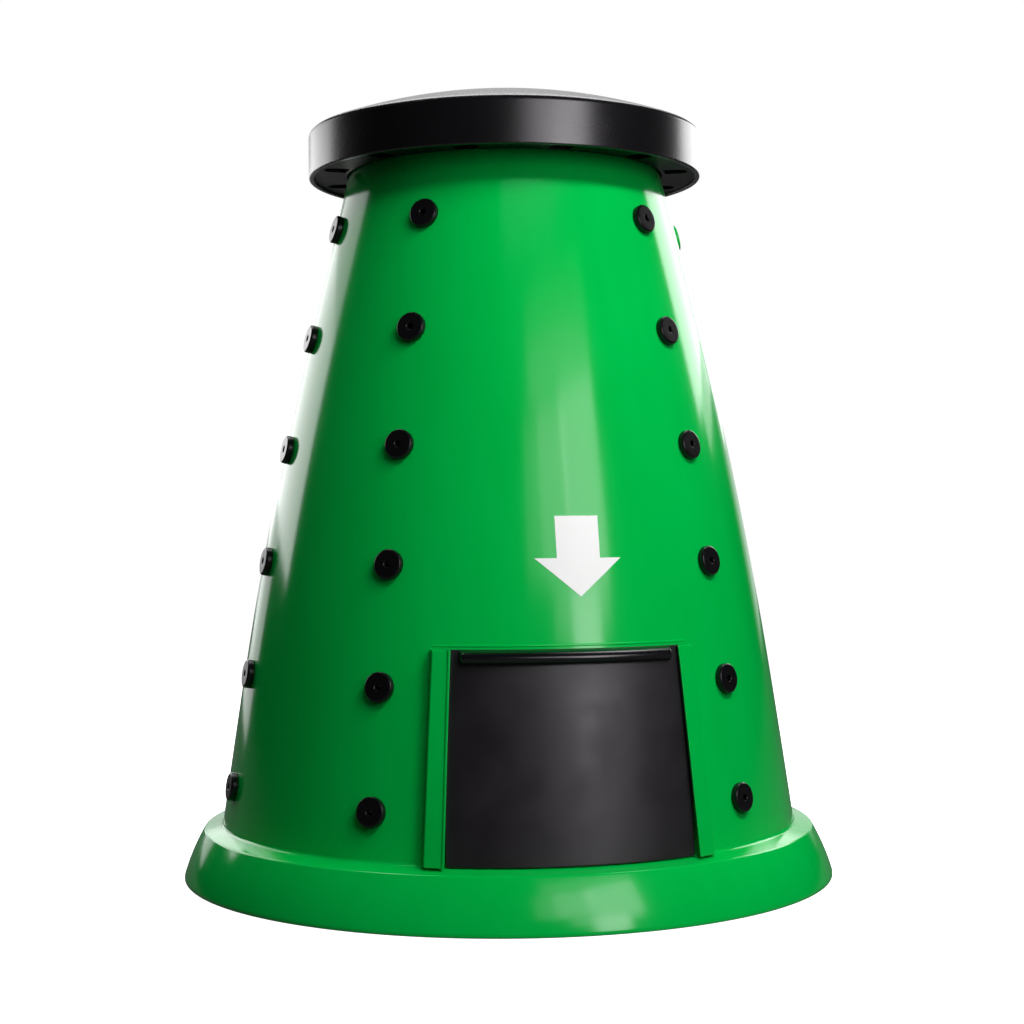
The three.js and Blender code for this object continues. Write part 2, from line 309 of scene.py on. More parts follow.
def rounded(corners, radii, steps=5, ease=0.35):
    """Closed outlines with their corners rounded, as arrays of (..., points, 2).
    From a corner c with unit directions a in and b out, the arc is
    c - r a (1 - sin t) + r b (1 - cos t) for t from 0 to a quarter turn.
    One more point a little before and after each arc keeps the flats flat. Radii shrink on short edges."""
    corners = np.asarray(corners, float)
    radii = np.broadcast_to(np.asarray(radii, float), corners.shape[:-1])
    into = corners - np.roll(corners, 1, -2)
    length_in = np.linalg.norm(into, axis=-1)
    length_out = np.roll(length_in, -1, -1)
    room = np.minimum(length_in, length_out) * 0.45 / (1 + ease)
    radii = np.minimum(radii, room)[..., None, None]
    into = into / np.maximum(length_in, 1e-9)[..., None]
    out = np.roll(into, -1, -2)
    turn = np.linspace(0, np.pi / 2, steps + 1)
    before = np.concatenate([[1 + ease], 1 - np.sin(turn), [0]])[:, None]
    after = np.concatenate([[0], 1 - np.cos(turn), [1 + ease]])[:, None]
    arcs = corners[..., None, :] - radii * before * into[..., None, :] + radii * after * out[..., None, :]
    return arcs.reshape(*corners.shape[:-2], -1, 2)


def rounded_parts(parts):
    """A closed outline from parts in their order, each its corners and the radius, or radii, they take."""
    corners = np.vstack([np.asarray(p) for p, _ in parts])
    radii = np.concatenate([np.broadcast_to(r, len(p)) for p, r in parts])
    return rounded(corners, radii)


def without_repeats(outline, closed=True):
    """The outline without points that repeat the one before."""
    step = np.linalg.norm(outline - np.roll(outline, 1, 0), axis=1)
    keep = step > MERGE_DISTANCE
    keep[0] = keep[0] or not closed
    return outline[keep]


def turned(name, outline, segments, open_ends=False):
    """A (radius, height) outline turned round the z axis: (r sin t, -r cos t, z).
    With open ends it starts and ends on the axis, where its points close to a pole."""
    outline = without_repeats(outline, not open_ends)
    faces = grid_faces(segments, len(outline), True, not open_ends)
    return solid_object(name, turned_points(outline, segments), faces)


def turned_points(outline, segments):
    """The outline's points in even turns round the z axis, as a (segments, points, 3) grid."""
    turn = np.linspace(0, 2 * np.pi, segments, endpoint=False)[:, None]
    radius, height = outline[:, 0], outline[:, 1]
    return np.stack([radius * np.sin(turn), -radius * np.cos(turn), height + 0 * turn], -1)


def copies(points, faces, places):
    """The same points and faces carried to several places, each a 4 by 4 matrix."""
    flat = np.asarray(points).reshape(-1, 3)
    carried = np.einsum("kij,nj->kni", places[:, :3, :3], flat) + places[:, None, :3, 3]
    shift = np.arange(len(places))[:, None, None] * len(flat)
    return carried.reshape(-1, 3), (faces[None] + shift).reshape(-1, faces.shape[1])


def post(radius, back, front, places, segments=32):
    """Round posts along each place's z axis, between two distances from the wall's outside."""
    outline = np.array([[0, back], [radius, back], [radius, front], [0, front]])
    return copies(turned_points(outline, segments), grid_faces(segments, 4, True, False), places)


def prism(outline, y_front, y_back):
    """A front outline of (x, z) points carried from one y to another, with both ends closed."""
    count = len(outline)
    front = np.column_stack([outline[:, 0], np.full(count, y_front), outline[:, 1]])
    back = front + [0, y_back - y_front, 0]
    return np.vstack([front, back]), loft_faces(2, count)


def cut(piece, *cutters):
    """The piece with the cutters taken out of it, its smooth faces and creases set again."""
    for cutter in cutters:
        step = piece.modifiers.new("cut", "BOOLEAN")
        step.operation = "DIFFERENCE"
        step.solver = "MANIFOLD"
        step.object = cutter
    graph = bpy.context.evaluated_depsgraph_get()
    mesh = bpy.data.meshes.new_from_object(piece.evaluated_get(graph))
    piece.modifiers.clear()
    piece.data = mesh
    mesh.name = piece.name
    smooth_with_creases(mesh)
    for cutter in cutters:
        bpy.data.objects.remove(cutter)


def finished(piece, finish, body, slot, *nodes):
    """Gives a piece its material and the body it moves with, and hides the imported parts of the nodes it
    stands for. The slot is not used.
    """
    piece.data.materials.clear()
    piece.data.materials.append(finish)
    if nodes:
        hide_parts(*nodes)
    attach(piece, body)


# Materials

GRAIN_SCALE = 700.0


def add_node(tree, kind, inputs=None, **settings):
    """A node with its settings, its inputs given as values or as the outputs that feed them."""
    node = tree.nodes.new(kind)
    for key, value in settings.items():
        setattr(node, key, value)
    for key, value in (inputs or {}).items():
        if isinstance(value, bpy.types.NodeSocket):
            tree.links.new(value, node.inputs[key])
        else:
            node.inputs[key].default_value = value
    return node


def new_finish(name):
    """A material with its node tree, its shader and the coordinates of the piece itself."""
    finish = bpy.data.materials.new(name)
    finish.use_nodes = True
    tree = finish.node_tree
    shader = tree.nodes["Principled BSDF"]
    place = add_node(tree, "ShaderNodeTexCoord").outputs["Object"]
    return finish, tree, shader, place


def noise(tree, place, scale, detail=2.0, stretch=None, roughness=0.5):
    """The value of a noise, on coordinates that may be stretched first."""
    if stretch:
        place = add_node(tree, "ShaderNodeMapping", {"Vector": place, "Scale": stretch}).outputs["Vector"]
    inputs = {"Vector": place, "Scale": scale, "Detail": detail, "Roughness": roughness}
    return add_node(tree, "ShaderNodeTexNoise", inputs).outputs["Fac"]


def between(tree, value, low, high, from_low=0.3, from_high=0.7):
    """A value mapped to a range, from the middle part of a noise's values or from a range given."""
    inputs = {"Value": value, "From Min": from_low, "From Max": from_high, "To Min": low, "To Max": high}
    return add_node(tree, "ShaderNodeMapRange", inputs).outputs["Result"]


def maths(tree, first, second, operation="ADD"):
    """The sum of two values or outputs, or what another operation makes of them."""
    return add_node(tree, "ShaderNodeMath", {0: first, 1: second}, operation=operation).outputs[0]


def colour_mix(tree, value, first, second):
    """A colour that goes from the first to the second as the value goes from 0 to 1."""
    mix = add_node(tree, "ShaderNodeMix", data_type="RGBA")
    tree.links.new(value, mix.inputs["Factor"])
    mix.inputs[6].default_value = (*first, 1.0)
    mix.inputs[7].default_value = (*second, 1.0)
    return mix.outputs[2]


def bump(tree, shader, height, strength, distance):
    """Lets a height tilt the shader's surface."""
    node = add_node(tree, "ShaderNodeBump", {"Height": height, "Strength": strength, "Distance": distance})
    tree.links.new(node.outputs["Normal"], shader.inputs["Normal"])


def green_gloss():
    """Glossy green moulded plastic with faint upright flow marks and a very fine orange peel."""
    finish, tree, shader, place = new_finish("green_gloss")
    cloud = noise(tree, place, 5.0, 3.0)
    flow = noise(tree, place, 1.0, 3.0, stretch=(34.0, 34.0, 1.3))
    shade = maths(tree, between(tree, cloud, 0.0, 0.6), between(tree, flow, 0.0, 0.4))
    colour = colour_mix(tree, shade, (0.0, 0.44, 0.056), (0.0, 0.485, 0.069))
    tree.links.new(colour, shader.inputs["Base Color"])
    tree.links.new(between(tree, flow, 0.115, 0.15), shader.inputs["Roughness"])
    peel = noise(tree, place, 240.0, 1.0)
    bump(tree, shader, peel, 0.10, 0.00012)
    return finish


def black_satin(name, base, roughness, shine, unevenness, grain_height=0.0):
    """Satin black plastic with a slight violet tint and slow uneven patches of sheen.
    It has a fine moulded grain where the grain's height is above zero."""
    finish, tree, shader, place = new_finish(name)
    shader.inputs["Specular IOR Level"].default_value = shine
    shader.inputs["Specular Tint"].default_value = (1.0, 0.96, 1.0, 1.0)
    cloud = noise(tree, place, 14.0, 4.0, roughness=0.6)
    dark, pale = [c * 0.86 for c in base], [c * 1.14 for c in base]
    colour = colour_mix(tree, between(tree, cloud, 0.0, 1.0), dark, pale)
    tree.links.new(colour, shader.inputs["Base Color"])
    patches = noise(tree, place, 22.0, 2.0, roughness=0.5)
    low, high = roughness * (1 - unevenness), roughness * (1 + unevenness)
    tree.links.new(between(tree, patches, low, high), shader.inputs["Roughness"])
    if grain_height > 0:
        bump(tree, shader, noise(tree, place, GRAIN_SCALE, 2.0), 0.25, grain_height)
    return finish


def white_print():
    """Matt white print with a faint unevenness of the ink."""
    finish, tree, shader, place = new_finish("white_print")
    cloud = noise(tree, place, 60.0, 3.0)
    tree.links.new(colour_mix(tree, cloud, (0.90, 0.91, 0.90), (0.94, 0.94, 0.93)), shader.inputs["Base Color"])
    tree.links.new(between(tree, cloud, 0.34, 0.46), shader.inputs["Roughness"])
    return finish


green = green_gloss()
black_lid = black_satin("black_lid", (0.0050, 0.0046, 0.0054), 0.27, 1.0, 0.04)
black_vent = black_satin("black_vent", (0.0050, 0.0050, 0.0058), 0.42, 0.4, 0.05)
black_door = black_satin("black_door", (0.0078, 0.0062, 0.0084), 0.42, 0.84, 0.14, grain_height=0.00004)
black_bar = black_satin("black_bar", (0.0034, 0.0034, 0.0044), 0.24, 0.8, 0.04)
black_plug = black_satin("black_plug", (0.0044, 0.0040, 0.0048), 0.30, 0.45, 0.04)
print_white = white_print()

# Body


def body_outline():
    """The body's closed (radius, height) section: foot ring, flared skirt, crest, ledge, wall, rim and inside.
    The skirt's radius is crest + flare (s + b s (1 - s)), with s from 0 at the crest to 1 at the foot."""
    flare = FOOT_RADIUS - CREST_RADIUS
    s = np.linspace(1, 0, 14)[1:-1]
    skirt_height = CREST_HEIGHT * (1 - s) + FOOT_EDGE_HEIGHT * s
    skirt = np.column_stack([CREST_RADIUS + flare * (s + FLARE_BEND * s * (1 - s)), skirt_height])
    heights = np.linspace(FOOT_HEIGHT, RIM_HEIGHT, 101)
    wall = np.column_stack([wall_radius(heights), heights])
    under = CREST_HEIGHT - WALL
    inner_heights = np.linspace(RIM_HEIGHT, under, 41)
    inner = np.column_stack([wall_radius(inner_heights) - WALL, inner_heights])
    inner_skirt = skirt[::-1][1:-2] - [WALL, 0]
    ring_inside = FOOT_RADIUS - FOOT_RING_WIDTH
    ring_top = [[FOOT_RADIUS - WALL - WALL, FOOT_RING_THICKNESS], [ring_inside, FOOT_RING_THICKNESS]]
    foot_edge = [[FOOT_RADIUS, 0], [FOOT_RADIUS, FOOT_EDGE_HEIGHT]]
    parts = [
        ([[ring_inside, 0]], FOOT_RING_ROUND),
        (foot_edge, FOOT_EDGE_ROUNDS),
        (skirt, 0),
        ([[CREST_RADIUS, CREST_HEIGHT]], CREST_ROUND),
        (wall[:1], LEDGE_ROUND),
        (wall[1:-1], 0),
        (wall[-1:], RIM_ROUND),
        (inner[:1], RIM_ROUND),
        (inner[1:-1], 0),
        (inner[-1:], INSIDE_ROUND),
        ([[CREST_RADIUS - WALL - WALL, under - WALL]], INSIDE_ROUND),
        (inner_skirt, 0),
        (ring_top, FOOT_RING_ROUND),
    ]
    return rounded_parts(parts)


def plug_places():
    """Where each plug sits, from its node's own vertices: their mean lies on the plug's axis, the axis is the
    main direction that points most outwards, and the seat on the wall is a thickness behind the front face."""
    names = sorted(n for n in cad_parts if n.startswith("vent_plug"))
    places = {}
    for name in names:
        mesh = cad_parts[name].data
        flat = np.empty(len(mesh.vertices) * 3)
        mesh.vertices.foreach_get("co", flat)
        points = np.unique(flat.reshape(-1, 3).round(7), axis=0)
        middle = (points.min(0) + points.max(0)) / 2
        outward = np.array([middle[0], middle[1], 0]) / math.hypot(middle[0], middle[1])
        mean = points.mean(0)
        axes = np.linalg.svd(points - mean)[2]
        axis = axes[np.argmax(np.abs(axes @ outward))]
        axis = axis * np.sign(axis @ outward)
        seat = mean + axis * (((points - mean) @ axis).max() - PLUG_THICKNESS)
        across = np.cross([0, 0, 1], axis)
        across /= np.linalg.norm(across)
        place = np.eye(4)
        place[:3, 0], place[:3, 1], place[:3, 2], place[:3, 3] = across, np.cross(axis, across), axis, seat
        places[name] = place
    return places


def opening_outline():
    """The harvest opening's front outline as (x, z) points: a rectangle behind the door, its corners round."""
    half, bottom, top = DOOR_HALF_WIDTH - DOOR_COVER, DOOR_BOTTOM + DOOR_COVER, DOOR_TOP - DOOR_COVER
    corners = [[half, bottom], [half, top], [-half, top], [-half, bottom]]
    return without_repeats(rounded(corners, OPENING_CORNER, 10, ease=0.0))


def bin_body(places):
    """The body's section turned once round, with the plug holes and the harvest opening cut through."""
    body = turned("bin_body", body_outline(), 288)
    reach = WALL + PLUG_STEM_REACH
    holes = solid_object("plug_holes", *post(PLUG_STEM_RADIUS + CLEARANCE, -reach, reach, places))
    studs = np.concatenate([stud_places(1), stud_places(-1)])
    stud_holes = solid_object("stud_holes", *post(STUD_RADIUS + CLEARANCE, -reach, reach, studs, 24))
    opening = solid_object("harvest_opening", *prism(opening_outline(), -FOOT_RADIUS, 0.0))
    cut(body, holes, stud_holes, opening)
    return body


def stud_places(side):
    """Where one rail's two studs go through the wall, square to the axis."""
    places = []
    for height in STUD_HEIGHTS:
        share = float(wall_radius(height)) / DOOR_HINGE_RADIUS
        middle = (RAIL_INNER_EDGE + RAIL_OUTER_EDGE) / 2 * share
        places.append(wall_place(side * math.asin(middle / float(wall_radius(height))), height))
    return np.array(places)


def door_bead():
    """A low bead on the wall just above the door, from rail to rail: out = p cos w, z = m + h/2 sin w.
    It sinks into the wall at both ends."""
    share = float(wall_radius(BEAD_MIDDLE)) / DOOR_HINGE_RADIUS
    reach = math.asin(RAIL_OUTER_EDGE * share / float(wall_radius(BEAD_MIDDLE)))
    along = np.linspace(-1, 1, 97)[:, None]
    swell = np.clip((1 - np.abs(along)) / BEAD_END_SHARE, 0, 1)
    tall = BEAD_END_HEIGHT_SHARE + (1 - BEAD_END_HEIGHT_SHARE) * swell
    w = np.linspace(-np.pi / 2, np.pi / 2, 13)[None, :]
    z = BEAD_MIDDLE + BEAD_HEIGHT / 2 * np.sin(w) * tall
    out = -BEAD_SINK + (BEAD_PROUD + BEAD_SINK) * np.cos(w) * swell
    front = wall_radius(z) + out
    back = wall_radius(z) - BEAD_ROOT + 0 * out
    radius = np.concatenate([front, back[:, ::-1]], 1)
    height = np.concatenate([z, z[:, ::-1]], 1)
    turn = reach * along
    points = np.stack([radius * np.sin(turn), -radius * np.cos(turn), height], -1)
    return solid_object("door_bead", points, loft_faces(*radius.shape))


def blank_boss(height):
    """A plain round boss of the wall's own green, in the top row to the right: a disc with a rounded rim."""
    corners = [[0, -BOSS_SINK], [PLUG_RADIUS, -BOSS_SINK], [PLUG_RADIUS, BOSS_PROUD], [0, BOSS_PROUD]]
    outline = without_repeats(rounded(corners, [0, 0.0004, BOSS_ROUND, 0]))
    outline[outline[:, 0] < ON_AXIS, 0] = 0
    place = wall_place(math.radians(BOSS_AZIMUTH), height, wall_lean(height))
    faces = grid_faces(48, len(outline), True, True)
    return solid_object("blank_boss", *copies(turned_points(outline, 48), faces, place[None]))


plugs = plug_places()
body = bin_body(np.array(list(plugs.values())))
finished(body, green, "body", "green_plastic", "body_shell")
finished(door_bead(), green, "body", "green_plastic")
top_row = max(place[2, 3] for place in plugs.values())
finished(blank_boss(top_row), green, "body", "green_plastic")

# Vent plugs


def plug_outline():
    """A plug's closed (radius, height) section: bore with a countersink, face, rounded rim, seat and stem."""
    back = -WALL - PLUG_STEM_REACH
    corners = [
        [PLUG_BORE_RADIUS, PLUG_THICKNESS - PLUG_BORE_SINK],
        [PLUG_BORE_RADIUS + PLUG_BORE_SINK, PLUG_THICKNESS],
        [PLUG_RADIUS, PLUG_THICKNESS],
        [PLUG_RADIUS, CLEARANCE],
        [PLUG_STEM_RADIUS, CLEARANCE],
        [PLUG_STEM_RADIUS, back],
        [PLUG_BORE_RADIUS, back],
    ]
    return without_repeats(rounded(corners, [0.0003, 0.0004, PLUG_BEVEL, 0.0006, 0.0002, 0.0006, 0.0003]))


plug_profile = plug_outline()
plug_points = turned_points(plug_profile, 40)
plug_faces = grid_faces(40, len(plug_profile), True, True)
for node, place in plugs.items():
    plug = solid_object(node.replace("vent_plug", "plug"), *copies(plug_points, plug_faces, place[None]))
    finished(plug, black_plug, "body", "black_plastic", node)

# Rails of the door


def rail(side):
    """One rail, as level sections from foot to top. Its edges keep their angle round the bin; its face follows
    the door's slide, with a raised ridge along the inner edge; a groove behind its lip holds the door's edge;
    its back lies on the wall and its two studs go through it."""
    turn = np.linspace(0, np.pi / 2, 5)
    from_end, inset = RAIL_FILLET * (1 - np.sin(turn)), RAIL_FILLET * (1 - np.cos(turn))
    middle = np.linspace(DOOR_BOTTOM + RAIL_END, DOOR_TOP - RAIL_END, 48)
    z = np.concatenate([DOOR_BOTTOM + from_end[::-1], middle, DOOR_TOP - from_end])
    shrink = np.concatenate([inset[::-1], 0 * middle, inset])
    along = (z - DOOR_BOTTOM) / (DOOR_TOP - DOOR_BOTTOM)
    share = wall_radius(z) / DOOR_HINGE_RADIUS
    inner, outer = RAIL_INNER_EDGE * share, RAIL_OUTER_EDGE * share
    groove = np.maximum(DOOR_HALF_WIDTH + SLIDE, inner + GROOVE_STEP)
    ceiling = DOOR_OUTSIDE + SLIDE + RAIL_LIFT * (1 - along)
    ridge_top = ceiling + RAIL_LIP
    face = ridge_top - RAIL_RIDGE_HEIGHT

    def on_wall(x):
        return -np.sqrt((wall_radius(z) + CLEARANCE) ** 2 - x**2)

    ridge = inner + RAIL_RIDGE_WIDTH
    slope = ridge - RAIL_RIDGE_SLOPE
    lines = [
        (outer, on_wall(outer)),
        (outer, slide_face(outer, z, face)),
        (ridge, slide_face(ridge, z, face)),
        (slope, slide_face(slope, z, ridge_top)),
        (inner, slide_face(inner, z, ridge_top)),
        (inner, slide_face(inner, z, ceiling)),
        (groove, slide_face(groove, z, ceiling)),
        (groove, on_wall(groove)),
    ]
    corners = np.stack([np.stack(line, -1) for line in lines], 1)
    outward = np.sign(corners - corners[:, [0, 1, 4]].mean(1, keepdims=True))
    radii = [0.0004, RAIL_FILLET, 0.0006, 0.0008, 0.0008, 0.0004, 0.0003, 0.0003]
    section = rounded(corners - outward * shrink[:, None, None], radii)
    x = section[..., 0] * side
    points = np.stack([x, section[..., 1], np.broadcast_to(z[:, None], x.shape)], -1)
    studs, stud_faces = post(STUD_RADIUS, -WALL - STUD_REACH, CLEARANCE + SLIDE, stud_places(side), 24)
    faces = loft_faces(*x.shape) + (stud_faces + x.size).tolist()
    name = "rail_right" if side > 0 else "rail_left"
    return solid_object(name, np.vstack([points.reshape(-1, 3), studs]), faces)


for side, node in ((1, "door_guide_right"), (-1, "door_guide_left")):
    finished(rail(side), green, "body", "green_plastic", node)

# Harvest door


def edge_lines(low, high, fillet, inner_step):
    """Grid lines from low to high: close ones over the rounded edges, even ones between."""
    turn = np.linspace(0, np.pi / 2, 6)
    edge = np.concatenate([fillet * (1 - np.cos(turn)), [fillet * 1.4]])
    count = max(2, int(round((high - low) / inner_step)))
    middle = np.linspace(low + fillet * 3, high - fillet * 3, count)
    return np.concatenate([low + edge, middle, high - edge[::-1]])


def plate(half_width, bottom, top, corner, fillet, front_radius, back_radius, step=0.006):
    """A curved plate about the door's axis. A grid of (x, z) lines is bent into round corners, where a corner's
    square becomes a quarter disc. Near its border the face drops by f - sqrt(f^2 - (f - d)^2), with f the
    fillet and d the way to the edge."""
    across, upwards = edge_lines(-half_width, half_width, fillet, step), edge_lines(bottom, top, fillet, step)
    x, z = np.meshgrid(across, upwards)
    to_side = half_width - np.abs(x)
    to_end = np.minimum(z - bottom, top - z)
    border = np.clip(fillet - np.minimum(to_side, to_end), 0, fillet)
    drop = fillet - np.sqrt(fillet**2 - border**2)
    p, q = 1 - to_side / corner, 1 - to_end / corner
    inside = (p > 0) & (q > 0)
    bend = np.where(inside, np.maximum(p, q) / np.maximum(np.hypot(p, q), 1e-9), 1)
    upper = np.where(z > (top + bottom) / 2, 1, -1)
    x = np.where(inside, np.sign(x) * (half_width - corner + corner * p * bend), x)
    z = np.where(inside, np.where(upper > 0, top - corner, bottom + corner) + upper * corner * q * bend, z)
    sides = []
    for radius, out in ((front_radius, 1), (back_radius, -1)):
        sides.append(np.stack([x, slide_face(x, z, radius - out * drop), z], -1))
    return sheet(sides)


def pull_bar():
    """The half-round bar across the door: an ellipse section, z = m + h/2 sin w and out = d cos w,
    that closes at each end along a quarter of an ellipse."""
    turn = np.linspace(0, np.pi / 2, 9)
    tail = BAR_HALF_WIDTH - BAR_END * (1 - np.sin(turn))
    straight = BAR_HALF_WIDTH - BAR_END * 1.6
    x = np.concatenate([-tail[::-1], np.linspace(-straight, straight, 60), tail])
    into_end = np.clip(np.abs(x) - BAR_HALF_WIDTH + BAR_END, 0, BAR_END) / BAR_END
    size = np.sqrt(np.clip(1 - into_end**2, 0, 1))
    w = np.linspace(-np.pi / 2, np.pi / 2, 25)[None, :]
    x, size = x[:, None], size[:, None]
    middle = DOOR_TOP - BAR_DROP - BAR_HEIGHT / 2
    z = middle + BAR_HEIGHT / 2 * np.sin(w) * size
    radius = DOOR_OUTSIDE - BAR_SINK + (BAR_DEPTH + BAR_SINK) * np.cos(w) * size
    x = x + 0 * w
    front = np.stack([x, slide_face(x, z, radius), z], -1)
    root = np.stack([x, slide_face(x, z, DOOR_OUTSIDE - BAR_SINK), z], -1)
    loop = np.concatenate([front, root[:, ::-1][:, 1:-1]], 1)
    return loop, grid_faces(loop.shape[0], loop.shape[1], False, True)


def harvest_door():
    """The curved panel with its pull bar, joined in one piece."""
    panel, panel_faces = plate(
        DOOR_HALF_WIDTH, DOOR_BOTTOM, DOOR_TOP, DOOR_CORNER, DOOR_FILLET, DOOR_OUTSIDE, DOOR_INSIDE
    )
    bar, bar_faces = pull_bar()
    points = np.vstack([panel, bar.reshape(-1, 3)])
    return solid_object("door", points, np.vstack([panel_faces, bar_faces + len(panel)]))


def polish_bar(door):
    """The faces that stand proud of the panel's front take the smoother finish."""
    door.data.materials.append(black_bar)
    middles = np.empty(3 * len(door.data.polygons))
    door.data.polygons.foreach_get("center", middles)
    x, y, z = middles.reshape(-1, 3).T
    proud = y < slide_face(x, z, DOOR_OUTSIDE + PROUD_OF_PANEL)
    door.data.polygons.foreach_set("material_index", proud.astype(np.int32))


door = harvest_door()
finished(door, black_door, "door", "black_plastic", "harvest_door")
polish_bar(door)

# Lid


def lid_outline():
    """The cap's (radius, height) section, from the axis under the dome, round the rim, to the axis on top.
    The dome's height is foot + rise (1 - s^2); its edge is an arc that meets the dome's own slope."""
    side_top = LID_BOTTOM + LID_SIDE
    slope = math.atan2(2 * LID_DOME_RISE, LID_RADIUS - LID_EDGE_ROUND)
    dome_radius = LID_RADIUS - LID_EDGE_ROUND * (1 - math.sin(slope))
    dome_foot = side_top + LID_EDGE_ROUND * math.cos(slope)
    s = np.linspace(0, 1, 30)
    dome = np.column_stack([dome_radius * s, dome_foot + LID_DOME_RISE * (1 - s**2)])
    inner_dome = np.column_stack([(dome_radius - LID_WALL * math.sin(slope)) * s, dome[:, 1] - LID_WALL])
    turn = np.linspace(0, np.pi / 2 - slope, 16)[:-1]
    arc = np.column_stack([np.cos(turn), np.sin(turn)])
    middle = np.array([LID_RADIUS - LID_EDGE_ROUND, side_top])
    edge = middle + LID_EDGE_ROUND * arc
    inner_edge = (middle + (LID_EDGE_ROUND - LID_WALL) * arc)[::-1]
    inside = LID_RADIUS - LID_WALL
    bead_inside = inside - LID_BEAD
    bead = PLATE_BOTTOM + PLATE_THICKNESS + CLEARANCE
    lip = LID_BOTTOM + LID_LIP_HEIGHT
    parts = [
        (inner_dome, 0),
        (inner_edge, 0),
        ([[inside, bead + 2 * LID_BEAD], [bead_inside, bead + LID_BEAD], [bead_inside, bead]], 0.0004),
        ([[inside, bead], [inside, lip]], 0.0002),
        ([[LID_RADIUS - LID_LIP_WIDTH, lip], [LID_RADIUS - LID_LIP_WIDTH, LID_BOTTOM]], 0.0006),
        ([[LID_RADIUS, LID_BOTTOM]], LID_FOOT_ROUND),
        (edge, 0),
        (dome[::-1], 0),
    ]
    return rounded_parts(parts)


def lid_cap():
    """The cap's section turned once round, its poles on the axis closed."""
    outline = lid_outline()
    outline = outline[np.argmax(outline[:, 0] > ON_AXIS) - 1 :]
    outline[outline[:, 0] < ON_AXIS, 0] = 0
    return turned("lid", outline, 256, open_ends=True)


def vent_plate():
    """The plate under the cap: collar, seat on the rim, spigot and flat ring with its slots cut through."""
    seat = RIM_HEIGHT + CLEARANCE
    collar = float(wall_radius(PLATE_BOTTOM)) + COLLAR_PLAY
    collar_outside = collar + PLATE_THICKNESS
    spigot = NECK_RADIUS - WALL - COLLAR_PLAY
    plate_top = PLATE_BOTTOM + PLATE_THICKNESS
    corners = [
        [collar, PLATE_BOTTOM],
        [PLATE_RADIUS, PLATE_BOTTOM],
        [PLATE_RADIUS, plate_top],
        [collar_outside, plate_top],
        [collar_outside, PLATE_SEAT_TOP],
        [spigot - SPIGOT_WALL, PLATE_SEAT_TOP],
        [spigot - SPIGOT_WALL, seat - SPIGOT_DEPTH],
        [spigot, seat - SPIGOT_DEPTH],
        [spigot, seat],
        [collar, seat],
    ]
    radii = [0.0008, 0.0005, 0.0005, 0.0015, 0.0008, 0.0008, 0.0005, 0.0005, 0.0005, 0.0005]
    ring = turned("vent_plate", rounded(corners, radii), 240)
    inside, outside, half = collar_outside + SLIDE, LID_RADIUS - LID_LIP_WIDTH - SLOT_MARGIN, SLOT_WIDTH / 2
    turn = np.linspace(0, np.pi, 19)
    arc = np.column_stack([half * np.cos(turn), outside - half + half * np.sin(turn)])
    outline = np.vstack([[[half, inside]], arc, [[-half, inside]]])
    count = len(outline)
    low = np.column_stack([outline[:, 0], -outline[:, 1], np.full(count, PLATE_BOTTOM - CUT_OVERRUN)])
    high = low + [0, 0, PLATE_THICKNESS + 2 * CUT_OVERRUN]
    cutters = []
    for i in range(SLOT_COUNT):
        place = np.array(Matrix.Rotation(math.radians(SLOT_TURN + 360.0 * i / SLOT_COUNT), 3, "Z"))
        cutters.append(solid_object("slot", np.vstack([low, high]) @ place.T, loft_faces(2, count)))
    cut(ring, *cutters)
    return ring


finished(lid_cap(), black_lid, "lid", "black_plastic", "lid_cap")
finished(vent_plate(), black_vent, "lid", "black_plastic", "lid_vent_plate")

# Arrow that points down to the door


def down_arrow():
    """A thin arrow on the wall: a grid over its shaft and head, carried to (r sin t, -r cos t, z) with t
    from the width along the wall. Its face is just proud of the wall and its back just inside it."""
    shaft = np.linspace(ARROW_TOP, ARROW_SHOULDER, 12)
    head = np.linspace(ARROW_SHOULDER, ARROW_TIP, 14)
    z = np.concatenate([shaft, head])[:, None]
    taper = ARROW_HEAD_HALF * (head - ARROW_TIP) / (ARROW_SHOULDER - ARROW_TIP)
    half = np.concatenate([np.full(len(shaft), ARROW_SHAFT_HALF), taper])[:, None]
    across = np.linspace(-1, 1, 17)[None, :] * half
    radius = wall_radius(z + 0 * across)
    turn = math.radians(ARROW_AZIMUTH) + across / radius
    sides = []
    for out in (ARROW_PROUD, -ARROW_SINK):
        reach = radius + out
        sides.append(np.stack([reach * np.sin(turn), -reach * np.cos(turn), z + 0 * across], -1))
    return solid_object("down_arrow", *sheet(sides))


finished(down_arrow(), print_white, "body", "green_plastic")

# Floor, sky and lamps

FLOOR_SPAN = 14.0
FLOOR_DROP = 0.0005
FLOOR_GLOW = 0.97
FLOOR_IN_GLOSS = 0.06
FLOOR_PAINT = 0.8
FLOOR_BOUNCE = 0.03
DARK_GROUND_INSET = 0.012
LIT_GROUND_INSET = 0.004

SKY_FRONT = 0.0
SKY_BACK = 0.8
SKY_FADE = (0.84, 0.92)
SKY_FILL = 0.045


